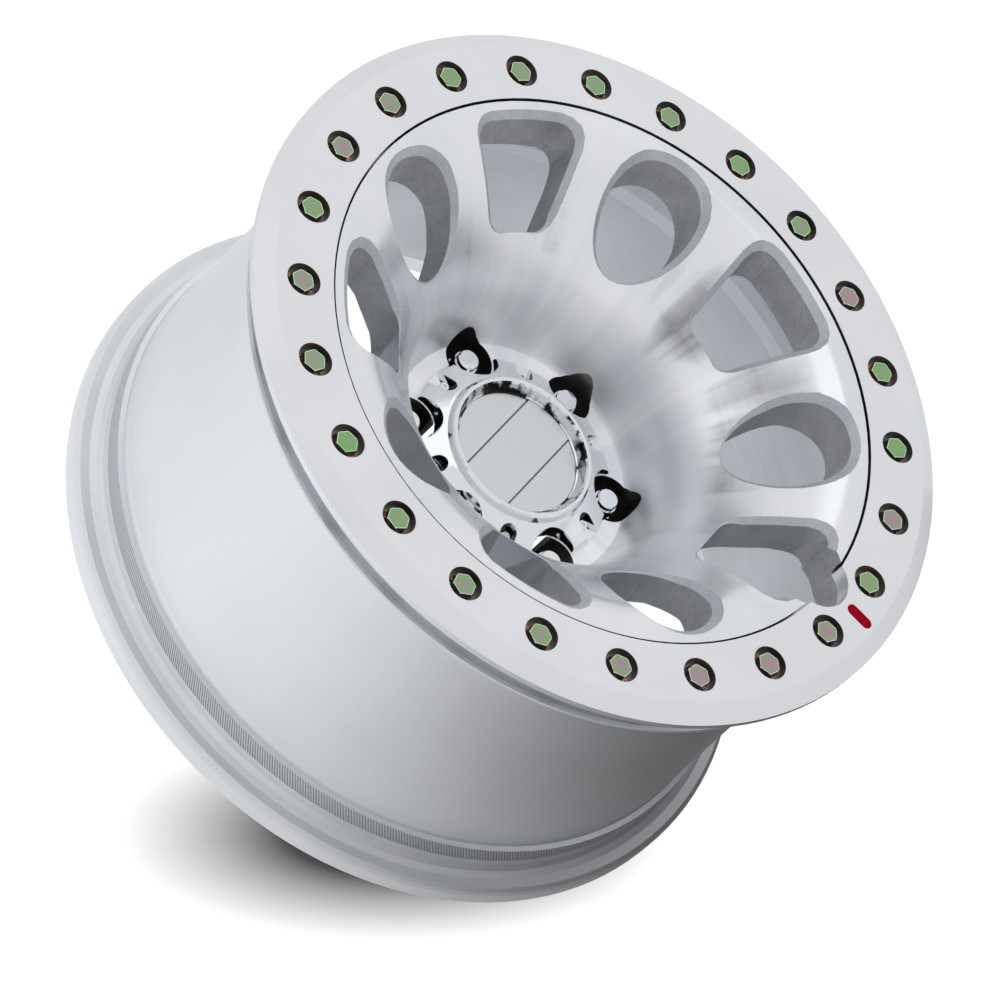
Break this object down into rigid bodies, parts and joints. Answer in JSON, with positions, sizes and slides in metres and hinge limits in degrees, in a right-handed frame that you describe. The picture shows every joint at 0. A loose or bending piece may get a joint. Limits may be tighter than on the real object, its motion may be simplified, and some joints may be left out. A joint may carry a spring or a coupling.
{
  "type": "beadlock wheel",
  "caption": "Cast road wheel with a dished window face, an outer clamping ring held by a circle of hex bolts, and a six-lug hub with a round cap.",
  "frame": {"origin": "centre of the hub bore on the mounting face", "axes": "+Z along the wheel axis to the outboard side, +X through the valve notch"},
  "size_m": [0.4712, 0.4712, 0.2559],
  "materials": {
    "cast_aluminium": "machined face, blasted window walls",
    "ring_aluminium": "satin turned",
    "zinc_steel": "zinc plated, iridescent",
    "insert_steel": "plain",
    "chrome_trim": "bright",
    "badge_metal": "brushed"
  },
  "bodies": {
    "root": {"wheel_body": "cast_aluminium", "beadlock_ring": "ring_aluminium", "ring_bolts": "zinc_steel", "ring_washers": "zinc_steel", "ring_inserts": "insert_steel", "hub_cap": "chrome_trim", "cap_badge": "badge_metal", "cap_screws": "chrome_trim", "lug_nuts": "chrome_trim"}
  },
  "joints": []
}
